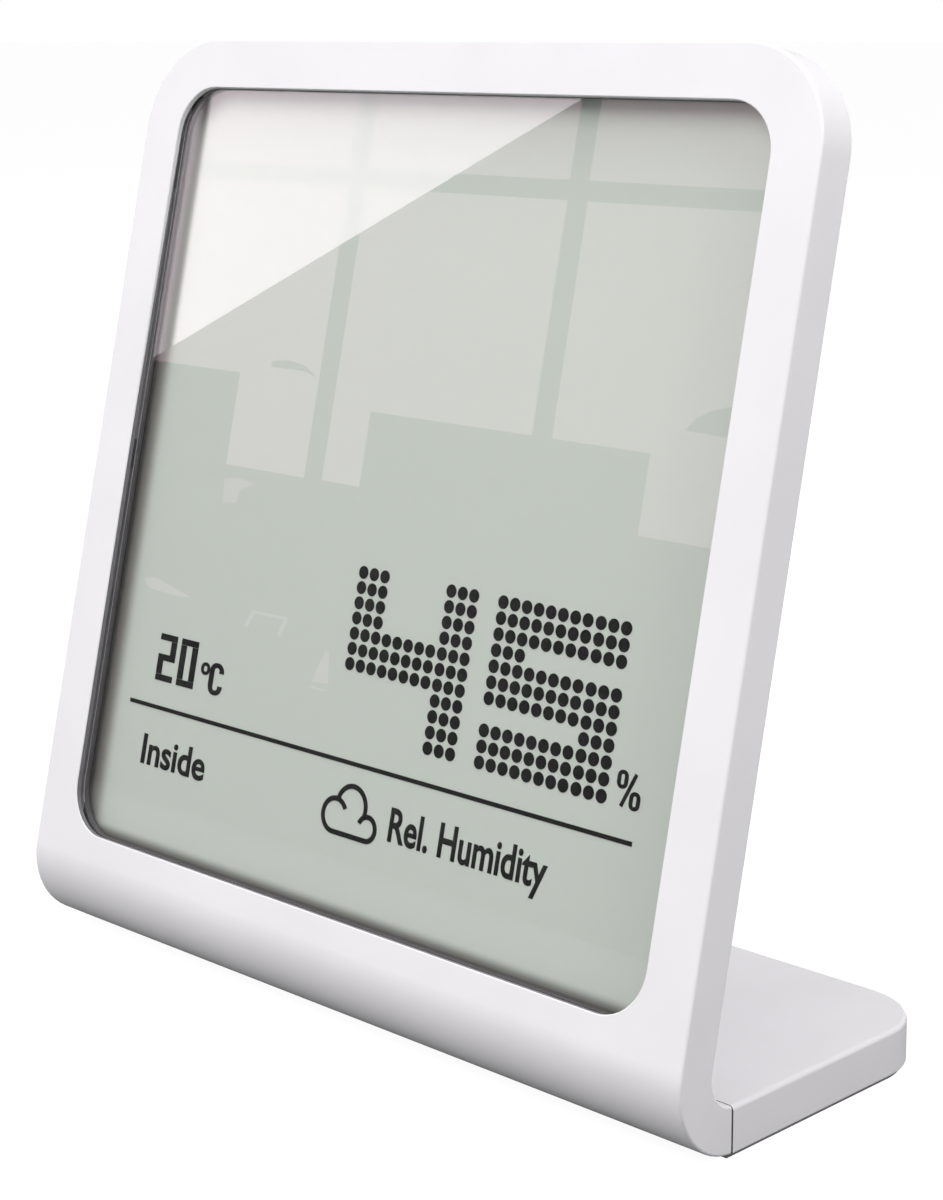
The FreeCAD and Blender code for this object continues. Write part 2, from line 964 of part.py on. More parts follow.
def sector(inner, outer, z0, z1, middle, span):
    """Part of a ring about the cell's axis, centred on an angle."""
    ring = disc(0.0, 0.0, z0, z1, outer).cut(disc(0.0, 0.0, z0, z1, inner))
    reach = 2.0 * outer
    start = math.radians(middle - span / 2.0)
    stop = math.radians(middle + span / 2.0)
    apex = Vec(0, 0, z0)
    first = Vec(reach * math.cos(start), reach * math.sin(start), z0)
    last = Vec(reach * math.cos(stop), reach * math.sin(stop), z0)
    wedge = Part.Face(Part.makePolygon([apex, first, last, apex])).extrude(Vec(0, 0, z1 - z0))
    piece = ring.common(wedge)
    piece.translate(Vec(cell_x, cell_y, 0.0))
    return piece


def make_foot_base():
    """Underside plate with the door's opening, pad seats and sunk screw holes."""
    low = underside - cut_over
    high = room_floor + cut_over
    body = foot_outline(
        room_half - base_fit,
        foot_front + base_fit,
        room_rear - base_fit,
        foot_corner_radius - foot_side_wall - base_fit,
        underside,
        room_floor,
    )
    body = body.cut(disc(cell_x, cell_y, low, high, door_radius + door_fit))
    for angle in lug_angles:
        notch = sector(
            door_radius - notch_root,
            door_radius + lug_reach + door_fit,
            low,
            high,
            angle - door_turn,
            notch_span,
        )
        body = body.cut(notch)
    for x, y in pad_places:
        body = body.cut(disc(x, y, low, underside + pad_recess, pad_radius + pad_fit))
    head_top = underside + screw_head_sink + screw_head_height
    for x, y, holds_tab in screw_places:
        body = body.cut(disc(x, y, low, high, screw_thread_radius + screw_hole_clearance))
        body = body.cut(disc(x, y, low, head_top, screw_head_radius + screw_head_clearance))
    return body.cut(disc(button_x, button_y, low, high, button_radius + button_fit))


def make_battery_door():
    """Round door with a ring round the cell, three locking lugs and a coin slot."""
    ring_top = room_floor + door_ring_height
    body = disc(cell_x, cell_y, underside, ring_top, door_radius)
    body = body.cut(disc(cell_x, cell_y, room_floor, ring_top, door_ring_inner))
    for angle in lug_angles:
        lug = sector(
            door_radius - lug_root,
            door_radius + lug_reach,
            room_floor + lug_lift,
            room_floor + lug_lift + lug_height,
            angle,
            lug_span,
        )
        body = body.fuse(lug)
    slot = block(
        cell_x - coin_slot_length / 2.0,
        cell_x + coin_slot_length / 2.0,
        cell_y - coin_slot_width / 2.0,
        cell_y + coin_slot_width / 2.0,
        underside - cut_over,
        underside + coin_slot_depth,
    )
    return body.cut(slot).removeSplitter()


def make_cell_can():
    """Positive can of the coin cell, a shallow cup."""
    lip_top = cell_top - can_wall
    cup = disc(cell_x, cell_y, cell_bottom, lip_top, cell_radius)
    inside = disc(cell_x, cell_y, cell_bottom + can_wall, lip_top, cell_radius - can_wall)
    return cup.cut(inside)


def make_cell_cap():
    """Negative cap of the coin cell, standing a little above the can's lip."""
    low = cell_bottom + can_wall + cell_gasket
    return disc(cell_x, cell_y, low, cell_top, cell_radius - can_lip)


def make_cell_gasket():
    """Insulating cup between can and cap."""
    low = cell_bottom + can_wall
    top = cell_top - can_wall
    outer = disc(cell_x, cell_y, low, top, cell_radius - can_wall)
    return outer.cut(disc(cell_x, cell_y, low + cell_gasket, top, cell_radius - can_lip))


def make_positive_clip():
    """Sprung strip that stands beside the can and turns in under the top skin."""
    x0 = cell_x + cell_radius + clip_gap
    y0 = cell_y - clip_width / 2.0
    y1 = cell_y + clip_width / 2.0
    low = room_floor + door_ring_height + clip_hem
    upright = block(x0, x0 + strip_thickness, y0, y1, low, room_roof)
    turned = block(x0, x0 + clip_foot_length, y0, y1, room_roof - strip_thickness, room_roof)
    return upright.fuse(turned).removeSplitter()


def make_negative_leaf():
    """Leaf spring under the top skin whose tip bears on the cell's cap."""
    tip_low = cell_top + leaf_tip_gap
    tip_y = cell_y + leaf_tip_reach
    flange_rear = cell_y + leaf_flange_reach
    flange_front = flange_rear - leaf_flange_length
    under = room_roof - strip_thickness
    outline = [
        (flange_rear, room_roof),
        (flange_front, room_roof),
        (tip_y + leaf_tip_length, tip_low + strip_thickness),
        (tip_y, tip_low + strip_thickness),
        (tip_y, tip_low),
        (tip_y + leaf_tip_length, tip_low),
        (flange_front, under),
        (flange_rear, under),
    ]
    points = [Vec(cell_x - leaf_width / 2.0, y, z) for y, z in outline]
    face = Part.Face(Part.makePolygon(points + points[:1]))
    return face.extrude(Vec(leaf_width, 0, 0))


def make_lead(name, route):
    """Insulated wire lying on the board's upper side, straight runs joined by tangent arcs."""
    height = board_top + lead_diameter / 2.0
    points = [Vec(cell_x + x, cell_y + y, height) for x, y in route]
    edges = []
    here = points[0]
    for index in range(1, len(points) - 1):
        before = points[index].sub(points[index - 1])
        after = points[index + 1].sub(points[index])
        half_turn = before.getAngle(after) / 2.0
        setback = 0.45 * min(before.Length, after.Length)
        radius = setback / math.tan(half_turn)
        into = Vec(before).normalize()
        out = Vec(after).normalize()
        start = points[index].sub(Vec(into).multiply(setback))
        stop = points[index].add(Vec(out).multiply(setback))
        inward = Vec(out).sub(into).normalize()
        crest = points[index].add(Vec(inward).multiply(radius / math.cos(half_turn) - radius))
        edges.append(Part.LineSegment(here, start).toShape())
        edges.append(Part.Arc(start, crest, stop).toShape())
        here = stop
        print(name, "bend radius", round(radius, 2))
    edges.append(Part.LineSegment(here, points[-1]).toShape())
    path = Part.Wire(edges)
    first = points[1].sub(points[0])
    section = Part.Wire(Part.makeCircle(lead_diameter / 2.0, points[0], first))
    tube = path.makePipeShell([section], True, False)
    area = math.pi * lead_diameter**2 / 4.0
    print(name, "volume over section times length", round(tube.Volume / (area * path.Length), 4))
    return tube


def make_main_board():
    """Circuit board under the foot's top skin, held on three posts."""
    body = block(board_left, board_right, board_front, board_rear, board_underside, board_top)
    for x, y in post_places:
        body = body.cut(
            disc(x, y, board_underside, board_top, post_pin_radius + post_pin_clearance)
        )
    return body


def make_ribbon_connector():
    """Low connector on the board's upper side with a slot for the ribbon."""
    left = ribbon_x - ribbon_width / 2.0
    right = ribbon_x + ribbon_width / 2.0
    front = board_front + connector_setback
    body = block(
        left - connector_margin,
        right + connector_margin,
        front,
        front + connector_length,
        board_top,
        room_roof - connector_gap,
    )
    slot = block(
        left - connector_slot_clearance,
        right + connector_slot_clearance,
        front - cut_over,
        ribbon_end + connector_slot_clearance,
        board_top,
        ribbon_top + connector_slot_clearance,
    )
    return body.cut(slot)


def hung(place, length, width, height, shift=0.0):
    """A box soldered to the board's underside, placed from the board's middle."""
    x = board_x + place[0] + shift
    y = board_y + place[1]
    return block(
        x - length / 2.0,
        x + length / 2.0,
        y - width / 2.0,
        y + width / 2.0,
        board_underside - height,
        board_underside,
    )


def make_controller_chip():
    """Square controller package with a round mark at its first pin."""
    body = hung(chip_place, chip_size, chip_size, chip_height)
    low = board_underside - chip_height
    x = board_x + chip_place[0] - chip_size / 2.0 + chip_mark_inset
    y = board_y + chip_place[1] - chip_size / 2.0 + chip_mark_inset
    return body.cut(disc(x, y, low, low + chip_mark_depth, chip_mark_radius))


def make_passives(places):
    """Chip parts: a body with a slightly larger cap at each end."""
    pieces = []
    for place in places:
        body = hung(
            place,
            passive_length - 2.0 * passive_cap,
            passive_width - 2.0 * passive_cap_proud,
            passive_height - passive_cap_proud,
        )
        for side in (-1.0, 1.0):
            shift = side * (passive_length - passive_cap) / 2.0
            body = body.fuse(hung(place, passive_cap, passive_width, passive_height, shift))
        pieces.append(body)
    return pieces


def make_humidity_sensor():
    """Square sensor package with an open port facing down."""
    low = board_underside - sensor_height
    x = board_x + sensor_place[0]
    y = board_y + sensor_place[1]
    body = hung(sensor_place, sensor_size, sensor_size, sensor_height)
    return body.cut(disc(x, y, low, low + sensor_port_depth, sensor_port_radius))


def make_tact_switch():
    """Square switch body with a round well for its plunger."""
    body = hung(button_place, switch_size, switch_size, board_underside - switch_floor)
    well_top = switch_floor + plunger_inside + plunger_travel_room
    well = disc(button_x, button_y, switch_floor, well_top, plunger_radius + plunger_fit)
    return body.cut(well)


def make_plunger():
    """Round plunger of the switch, just above the button."""
    return disc(button_x, button_y, plunger_low, switch_floor + plunger_inside, plunger_radius)


def make_unit_button():
    """Round button with a flange inside the base and a dished face."""
    bottom = underside + button_sink
    body = disc(button_x, button_y, bottom, room_floor, button_radius)
    flange = disc(button_x, button_y, room_floor, flange_top, button_radius + button_flange)
    dish_centre = Vec(button_x, button_y, bottom + button_dish_depth - button_dish_radius)
    dish = Part.makeSphere(button_dish_radius, dish_centre)
    return body.fuse(flange).cut(dish).removeSplitter()


def make_screws():
    """Small screws with a straight slot."""
    screws = []
    low = underside + screw_head_sink
    for x, y, holds_tab in screw_places:
        body = disc(x, y, low, low + screw_head_height, screw_head_radius)
        body = body.fuse(disc(x, y, low, low + screw_length, screw_thread_radius))
        slot = block(
            x - screw_head_radius - join,
            x + screw_head_radius + join,
            y - screw_slot_width / 2.0,
            y + screw_slot_width / 2.0,
            low - cut_over,
            low + screw_slot_depth,
        )
        screws.append(body.cut(slot).removeSplitter())
    return screws


def make_pads():
    """Round non-slip pads in seats under the foot."""
    return [disc(x, y, 0.0, underside + pad_recess, pad_radius) for x, y in pad_places]


os.makedirs("parts", exist_ok=True)
save("front_housing", make_front_housing())
save("back_cover", make_back_cover())
save("window_lens", make_window_lens())
save("lens_tape", make_lens_tape())
save("display_gasket", make_display_gasket())
save(
    "front_polariser",
    glass_sheet(front_glass_bottom, polariser_inset, polariser_front, polariser_thickness),
)
save("front_glass", glass_sheet(front_glass_bottom, 0.0, front_glass_front, glass_thickness))
save("display_edge_seal", make_edge_seal())
save("large_dot_figures", make_large_dots())
save("small_figures", make_small_digits())
save("degree_sign", make_degree_sign())
save("percent_sign", make_percent_sign())
save("dividing_line", make_dividing_line())
save("cloud_outline", make_cloud())
save("rear_glass", glass_sheet(rear_glass_bottom, 0.0, rear_glass_front, glass_thickness))
save(
    "rear_reflector",
    glass_sheet(front_glass_bottom, polariser_inset, reflector_front, reflector_thickness),
)
save("foam_pad", glass_sheet(front_glass_bottom, foam_inset, foam_front, foam_thickness))
save("display_ribbon", make_ribbon())
save("foot_shell", make_foot_shell())
save("foot_base", make_foot_base())
save("battery_door", make_battery_door())
save("coin_cell_can", make_cell_can())
save("coin_cell_cap", make_cell_cap())
save("coin_cell_gasket", make_cell_gasket())
save("positive_clip", make_positive_clip())
save("negative_leaf", make_negative_leaf())
save("red_battery_lead", make_lead("red_battery_lead", red_route))
save("black_battery_lead", make_lead("black_battery_lead", black_route))
save("main_board", make_main_board())
save("ribbon_connector", make_ribbon_connector())
save("controller_chip", make_controller_chip())
save("clock_crystal", hung(crystal_place, crystal_length, crystal_width, crystal_height))
save("chip_capacitors", make_passives(capacitor_places))
save("chip_resistors", make_passives(resistor_places))
save("humidity_sensor", make_humidity_sensor())
save("tact_switch", make_tact_switch())
save("switch_plunger", make_plunger())
save("unit_button", make_unit_button())
save("foot_screws", make_screws())
save("foot_pads", make_pads())
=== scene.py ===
import math

import bmesh
import bpy
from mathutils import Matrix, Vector


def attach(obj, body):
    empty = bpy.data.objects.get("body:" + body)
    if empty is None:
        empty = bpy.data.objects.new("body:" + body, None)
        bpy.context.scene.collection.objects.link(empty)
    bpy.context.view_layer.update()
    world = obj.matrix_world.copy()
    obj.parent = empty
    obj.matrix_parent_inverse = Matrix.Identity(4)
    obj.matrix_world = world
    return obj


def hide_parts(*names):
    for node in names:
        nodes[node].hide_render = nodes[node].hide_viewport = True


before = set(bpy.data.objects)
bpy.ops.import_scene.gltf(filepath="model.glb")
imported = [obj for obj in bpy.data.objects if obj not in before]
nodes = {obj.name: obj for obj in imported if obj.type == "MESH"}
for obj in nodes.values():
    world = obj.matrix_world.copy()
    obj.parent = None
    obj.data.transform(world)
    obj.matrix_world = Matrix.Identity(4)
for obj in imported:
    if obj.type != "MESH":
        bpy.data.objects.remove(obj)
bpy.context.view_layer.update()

# Camera: a short telephoto that looks at the device from its right and a little above.
# The frame is shifted down so that the lens looks level across the display, as in the picture.
camera_place = Vector((0.174436, -0.176294, 0.095731))
camera_azimuth = math.radians(44.346)
camera_elevation = math.radians(8.191)
camera = bpy.data.objects.new("camera", bpy.data.cameras.new("camera"))
bpy.context.scene.collection.objects.link(camera)
camera.location = camera_place
gaze = Vector(
    (
        -math.sin(camera_azimuth) * math.cos(camera_elevation),
        math.cos(camera_azimuth) * math.cos(camera_elevation),
        -math.sin(camera_elevation),
    )
)
camera.rotation_mode = "QUATERNION"
camera.rotation_quaternion = gaze.to_track_quat("-Z", "Y")
camera.data.lens = 76.8
camera.data.sensor_width = 36.0
camera.data.shift_y = -0.1667
camera.data.clip_start = 0.01
camera.data.clip_end = 100.0
bpy.context.scene.camera = camera
bpy.context.scene.view_settings.view_transform = "Standard"

# Room: an even pale sky all round, which the camera sees as plain white. Large soft lamps
# stand in front of the display, beside it, above it and behind it, and one lights its underside.
plain_white = (1.0, 1.0, 1.0, 1.0)
sky_light, sky_seen = 0.30, 1.0
device_middle = Vector((0.0, 0.0, 0.05))
world = bpy.data.worlds.new("pale_room")
bpy.context.scene.world = world
world.use_nodes = True
world_tree = world.node_tree
backdrop = world_tree.nodes["Background"]
backdrop.inputs["Color"].default_value = plain_white
seen = world_tree.nodes.new("ShaderNodeLightPath")
level = world_tree.nodes.new("ShaderNodeMapRange")
level.inputs["To Min"].default_value = sky_light
level.inputs["To Max"].default_value = sky_seen
world_tree.links.new(seen.outputs["Is Camera Ray"], level.inputs["Value"])
world_tree.links.new(level.outputs["Result"], backdrop.inputs["Strength"])


def soft_lamp(name, place, size, energy):
    """A square soft lamp that faces the middle of the device and that no gloss shows."""
    lamp = bpy.data.objects.new(name, bpy.data.lights.new(name, "AREA"))
    bpy.context.scene.collection.objects.link(lamp)
    lamp.data.shape = "SQUARE"
    lamp.data.size = size
    lamp.data.energy = energy
    lamp.location = place
    lamp.rotation_mode = "QUATERNION"
    lamp.rotation_quaternion = (device_middle - place).to_track_quat("-Z", "Y")
    lamp.visible_glossy = False
    lamp.visible_transmission = False


soft_lamp("front_lamp", Vector((-0.50, -0.75, 0.35)), size=0.8, energy=2.60)
soft_lamp("high_lamp", Vector((-0.20, -0.60, 0.70)), size=0.6, energy=5.37)
soft_lamp("side_lamp", Vector((0.34, 0.0, 0.26)), size=0.22, energy=0.86)
soft_lamp("top_lamp", Vector((0.0, 0.0, 0.70)), size=0.4, energy=1.60)
soft_lamp("back_lamp", Vector((0.0, 0.60, 0.06)), size=0.4, energy=1.0)
soft_lamp("left_lamp", Vector((-0.60, 0.12, 0.14)), size=0.4, energy=0.9)
soft_lamp("under_lamp", Vector((0.0, -0.10, -0.50)), size=0.4, energy=1.1)

# Floor: a plain pale table top. The camera sees it lifted to white, and it keeps the soft
# shadow of the device. From below it is clear, like a glass table, and under the foot it lets
# light through to the underside.
floor_half = 20.0
floor_level = -0.00002
floor_tone = (0.18, 0.18, 0.18, 1.0)
floor_lift = 0.93
foot_core = (0.0375, 0.0115, 0.0)
foot_corner = 0.00705
foot_start = -0.0121
floor_mesh = bpy.data.meshes.new("floor")
floor_mesh.from_pydata(
    [
        (-floor_half, -floor_half, floor_level),
        (floor_half, -floor_half, floor_level),
        (floor_half, floor_half, floor_level),
        (-floor_half, floor_half, floor_level),
    ],
    [],
    [(0, 1, 2, 3)],
)
floor = bpy.data.objects.new("floor", floor_mesh)
bpy.context.scene.collection.objects.link(floor)


def compute(tree, operation, one, other):
    """A value worked out from two others, each of them a socket or a plain number."""
    step = tree.nodes.new("ShaderNodeMath")
    step.operation = operation
    for place, value in enumerate((one, other)):
        if isinstance(value, float):
            step.inputs[place].default_value = value
        else:
            tree.links.new(value, step.inputs[place])
    return step.outputs["Value"]


def place_on_axis(tree, axis):
    """How far a place of the piece lies along one of its own axes, in metres."""
    place = tree.nodes.new("ShaderNodeTexCoord")
    split = tree.nodes.new("ShaderNodeSeparateXYZ")
    tree.links.new(place.outputs["Object"], split.inputs["Vector"])
    return split.outputs[axis]


floor_paint = bpy.data.materials.new("pale_table")
floor_paint.use_nodes = True
tree = floor_paint.node_tree
tree.nodes.clear()
place = tree.nodes.new("ShaderNodeTexCoord")
outside = place.outputs["Object"]
for operation, amount in (("ABSOLUTE", None), ("SUBTRACT", foot_core), ("MAXIMUM", (0.0, 0.0, 0.0))):
    step = tree.nodes.new("ShaderNodeVectorMath")
    step.operation = operation
    if amount:
        step.inputs[1].default_value = amount
    tree.links.new(outside, step.inputs[0])
    outside = step.outputs["Vector"]
reach = tree.nodes.new("ShaderNodeVectorMath")
reach.operation = "LENGTH"
tree.links.new(outside, reach.inputs[0])
inside = compute(tree, "LESS_THAN", reach.outputs["Value"], foot_corner)
behind_bend = compute(tree, "GREATER_THAN", place_on_axis(tree, "Y"), foot_start)
under_foot = compute(tree, "MULTIPLY", inside, behind_bend)
seen = tree.nodes.new("ShaderNodeLightPath")
beside_foot = compute(tree, "SUBTRACT", 1.0, under_foot)
shown = compute(tree, "MULTIPLY", seen.outputs["Is Camera Ray"], beside_foot)
unseen = compute(tree, "GREATER_THAN", under_foot, seen.outputs["Is Camera Ray"])
shape = tree.nodes.new("ShaderNodeNewGeometry")
open_part = compute(tree, "MAXIMUM", shape.outputs["Backfacing"], unseen)
matt = tree.nodes.new("ShaderNodeBsdfDiffuse")
matt.inputs["Color"].default_value = floor_tone
lift = tree.nodes.new("ShaderNodeEmission")
tree.links.new(compute(tree, "MULTIPLY", shown, floor_lift), lift.inputs["Strength"])
both = tree.nodes.new("ShaderNodeAddShader")
tree.links.new(matt.outputs["BSDF"], both.inputs[0])
tree.links.new(lift.outputs["Emission"], both.inputs[1])
clear_part = tree.nodes.new("ShaderNodeBsdfTransparent")
table = tree.nodes.new("ShaderNodeMixShader")
tree.links.new(open_part, table.inputs["Fac"])
tree.links.new(both.outputs["Shader"], table.inputs[1])
tree.links.new(clear_part.outputs["BSDF"], table.inputs[2])
surface = tree.nodes.new("ShaderNodeOutputMaterial")
tree.links.new(table.outputs["Shader"], surface.inputs["Surface"])
floor_mesh.materials.append(floor_paint)


# Front housing: one thick white moulding, satin from the tool, that carries the window and
# bends round at the bottom into the foot. The narrow wall of the window and the faces at the
# seam with the foot carry painted shade: a grey that runs less deep towards the window's top.
def linear(red, green, blue):
    """A colour as a paint chart gives it, 0 to 255, as light."""
    parts = []
    for value in (red, green, blue):
        share = value / 255.0
        parts.append(share / 12.92 if share <= 0.04045 else ((share + 0.055) / 1.055) ** 2.4)
    return (parts[0], parts[1], parts[2], 1.0)


def material(name, colour, roughness, **sockets):
    """A plain shader with its fixed values set on its own sockets."""
    made = bpy.data.materials.new(name)
    made.use_nodes = True
    shader = made.node_tree.nodes["Principled BSDF"]
    shader.inputs["Base Color"].default_value = colour
    shader.inputs["Roughness"].default_value = roughness
    for socket, value in sockets.items():
        shader.inputs[socket.replace("_", " ")].default_value = value
    return made, made.node_tree, shader


def noise(tree, size, detail=2.0):
    """Even noise whose lumps are about size metres across, in the object's own place."""
    place = tree.nodes.new("ShaderNodeTexCoord")
    lumps = tree.nodes.new("ShaderNodeTexNoise")
    lumps.inputs["Scale"].default_value = 1.0 / size
    lumps.inputs["Detail"].default_value = detail
    tree.links.new(place.outputs["Object"], lumps.inputs["Vector"])
    return lumps.outputs["Fac"]


noise_low, noise_high = 0.3, 0.7


def spread_between(tree, fac, low, high):
    """The noise drawn out to run between two values."""
    drawn = tree.nodes.new("ShaderNodeMapRange")
    drawn.inputs["From Min"].default_value = noise_low
    drawn.inputs["From Max"].default_value = noise_high
    drawn.inputs["To Min"].default_value = low
    drawn.inputs["To Max"].default_value = high
    tree.links.new(fac, drawn.inputs["Value"])
    return drawn.outputs["Result"]


def blend_colours(tree, fac, first, second):
    """A colour between two, each of them a socket or a plain colour, led by a value."""
    blend = tree.nodes.new("ShaderNodeMix")
    blend.data_type = "RGBA"
    for side, colour in (("A", first), ("B", second)):
        if isinstance(colour, tuple):
            blend.inputs[side].default_value = colour
        else:
            tree.links.new(colour, blend.inputs[side])
    tree.links.new(fac, blend.inputs["Factor"])
    return blend.outputs["Result"]


def shaded(colour, share):
    """The same colour, lighter or darker by a share."""
    return tuple(value * share for value in colour[:3]) + (1.0,)


def emboss(tree, shader, height, depth):
    """A bump of that depth in metres under the shader."""
    bump = tree.nodes.new("ShaderNodeBump")
    bump.inputs["Strength"].default_value = 1.0
    bump.inputs["Distance"].default_value = depth
    tree.links.new(height, bump.inputs["Height"])
    tree.links.new(bump.outputs["Normal"], shader.inputs["Normal"])


tone_lumps = 0.012
shine_lumps = 0.004
shine_change = 0.1


def moulded(name, colour, roughness, grain=0.00035, depth=0.000004, mottle=0.02, **sockets):
    """Moulded plastic: a fine even grain, with a little change in tone and in shine."""
    made, tree, shader = material(name, colour, roughness, **sockets)
    cloudy = spread_between(tree, noise(tree, tone_lumps), 0.0, 1.0)
    tone = blend_colours(tree, cloudy, shaded(colour, 1.0 - mottle), shaded(colour, 1.0 + mottle))
    tree.links.new(tone, shader.inputs["Base Color"])
    dull, bright = roughness * (1.0 - shine_change), roughness * (1.0 + shine_change)
    shine = spread_between(tree, noise(tree, shine_lumps), dull, bright)
    tree.links.new(shine, shader.inputs["Roughness"])
    emboss(tree, shader, noise(tree, grain, detail=3.0), depth)
    return made


def dress(piece, made):
    """Gives a piece one material all over."""
    piece.data.materials.clear()
    piece.data.materials.append(made)


sharp_edge = math.radians(28.0)
same_place = 0.0000005
soft_shading = bpy.data.node_groups.new("soft_shading", "GeometryNodeTree")
soft_shading.interface.new_socket("Mesh", in_out="INPUT", socket_type="NodeSocketGeometry")
soft_shading.interface.new_socket("Mesh", in_out="OUTPUT", socket_type="NodeSocketGeometry")
source = soft_shading.nodes.new("NodeGroupInput")
target = soft_shading.nodes.new("NodeGroupOutput")
join = soft_shading.nodes.new("GeometryNodeMergeByDistance")
join.inputs["Distance"].default_value = same_place
turn = soft_shading.nodes.new("GeometryNodeInputMeshEdgeAngle")
sharp = soft_shading.nodes.new("FunctionNodeCompare")
sharp.operation = "LESS_THAN"
sharp.inputs["B"].default_value = sharp_edge
faces = soft_shading.nodes.new("GeometryNodeSetShadeSmooth")
faces.domain = "FACE"
edges = soft_shading.nodes.new("GeometryNodeSetShadeSmooth")
edges.domain = "EDGE"
soft_shading.links.new(source.outputs["Mesh"], join.inputs["Geometry"])
soft_shading.links.new(join.outputs["Geometry"], faces.inputs["Geometry"])
soft_shading.links.new(faces.outputs["Geometry"], edges.inputs["Geometry"])
soft_shading.links.new(turn.outputs["Unsigned Angle"], sharp.inputs["A"])
soft_shading.links.new(sharp.outputs["Result"], edges.inputs["Shade Smooth"])
soft_shading.links.new(edges.outputs["Geometry"], target.inputs["Mesh"])


def smooth_shape(piece):
    """Shades shallow edges smooth and leaves sharp ones sharp, without touching the mesh."""
    modifier = piece.modifiers.new("soft_shading", "NODES")
    modifier.node_group = soft_shading
    even = piece.modifiers.new("flat_faces_stay_flat", "WEIGHTED_NORMAL")
    even.keep_sharp = True


mm = 0.001
lean = math.radians(12.5)
panel_foot = Vector((0.0, -0.018822, 0.009523))
panel_up = Vector((0.0, math.sin(lean), math.cos(lean)))
panel_in = Vector((0.0, math.cos(lean), -math.sin(lean)))
across = Vector((1.0, 0.0, 0.0))
rearward = Vector((0.0, 1.0, 0.0))
upright = Vector((0.0, 0.0, 1.0))


def along(tree, direction, limits):
    """Marks where a place lies between two distances in mm from the panel's foot."""
    start, stop = limits
    place = tree.nodes.new("ShaderNodeTexCoord")
    length = tree.nodes.new("ShaderNodeVectorMath")
    length.operation = "DOT_PRODUCT"
    length.inputs[1].default_value = direction
    tree.links.new(place.outputs["Object"], length.inputs[0])
    middle = (start + stop) / 2.0 * mm + panel_foot.dot(direction)
    inside = compute(tree, "COMPARE", length.outputs["Value"], middle)
    inside.node.inputs[2].default_value = (stop - start) / 2.0 * mm
    return inside


def paint_over(made, mask, colour):
    """Lays a plain colour over the moulded one wherever the mask is one."""
    tree = made.node_tree
    shader = tree.nodes["Principled BSDF"]
    under = shader.inputs["Base Color"].links[0].from_socket
    tree.links.new(blend_colours(tree, mask, under, colour), shader.inputs["Base Color"])


wall_depth = (0.09, 0.8)
wall_width = (-39.8, 39.8)
wall_height = (2.4, 82.2)
shade_depth = (-0.50, 0.8)
shade_taper = 0.0131
seam_depth = (6.77, 9.0)
seam_height = (-9.6, -4.4)
painted_shade_grey = linear(128, 126, 130)
housing_white = moulded("housing_white", linear(238, 236, 239), roughness=0.36, Coat_Weight=0.05)
tree = housing_white.node_tree
in_depth = along(tree, panel_in, wall_depth)
in_width = along(tree, across, wall_width)
in_height = along(tree, panel_up, wall_height)
in_taper = along(tree, panel_in - panel_up * shade_taper, shade_depth)
in_frame = compute(tree, "MULTIPLY", in_depth, in_width)
in_painted_shade = compute(tree, "MULTIPLY", in_height, in_taper)
window_wall_shade = compute(tree, "MULTIPLY", in_frame, in_painted_shade)
at_seam = along(tree, rearward, seam_depth)
at_seam_height = along(tree, upright, seam_height)
seam_gap_shade = compute(tree, "MULTIPLY", at_seam, at_seam_height)
# Painted shade: grey laid over the window's wall and the seam faces, where shade falls.
paint_over(housing_white, compute(tree, "MAXIMUM", window_wall_shade, seam_gap_shade), painted_shade_grey)
dress(nodes["front_housing"], housing_white)
smooth_shape(nodes["front_housing"])

# Back cover: a flat white plate, snapped into the back of the housing, with a slightly
# coarser grain than the front so that fingers do not show on it.
cover_white = moulded("cover_white", linear(234, 232, 235), roughness=0.48, grain=0.0006, depth=0.000012)
dress(nodes["back_cover"], cover_white)
smooth_shape(nodes["back_cover"])

# Window: a clear sheet of acrylic, polished on both faces and glued in behind the edge of the
# opening. Light passes straight through to the display, and the front gives a clean reflection.
polish_lumps = 0.006
window_shine = (0.0, 0.004)
window_clear, tree, shader = material(
    "window_clear", plain_white, roughness=0.0, Transmission_Weight=1.0, IOR=1.49
)
polish = spread_between(tree, noise(tree, polish_lumps), *window_shine)
tree.links.new(polish, shader.inputs["Roughness"])
path = tree.nodes.new("ShaderNodeLightPath")
lamp_light = compute(tree, "MAXIMUM", path.outputs["Is Shadow Ray"], path.outputs["Is Diffuse Ray"])
through = tree.nodes.new("ShaderNodeBsdfTransparent")
choose = tree.nodes.new("ShaderNodeMixShader")
surface = tree.nodes["Material Output"]
tree.links.new(lamp_light, choose.inputs["Fac"])
tree.links.new(shader.outputs["BSDF"], choose.inputs[1])
tree.links.new(through.outputs["BSDF"], choose.inputs[2])
tree.links.new(choose.outputs["Shader"], surface.inputs["Surface"])
dress(nodes["window_lens"], window_clear)


# What the window mirrors: a dark wall with tall pale panes in it, one bright slanting screen
# and a soft curtain beside the screen. They are lit sheets of the stage that stand in front
# of the display, and only the window shows them.
def on_panel(x, slope, depth):
    """A point of the leaning panel: across, up its slope and in behind its face, in mm."""
    return panel_foot + (across * x + panel_up * slope + panel_in * depth) * mm


lens_front = 0.7
card_distance = 6.0
layer_gap = 0.05
eye_depth = (camera_place - on_panel(0.0, 0.0, lens_front)).dot(panel_in)
mirrored_eye = camera_place - panel_in * eye_depth * 2.0
mirror_only = bpy.data.collections.new("seen_in_the_window_only")
mirror_only.objects.link(nodes["window_lens"])


def mirrored(x, slope, layer):
    """The place on a card of that layer that the window shows at a place of its own, in mm."""
    reach = card_distance - layer_gap * layer
    return mirrored_eye + (on_panel(x, slope, lens_front) - mirrored_eye) * reach


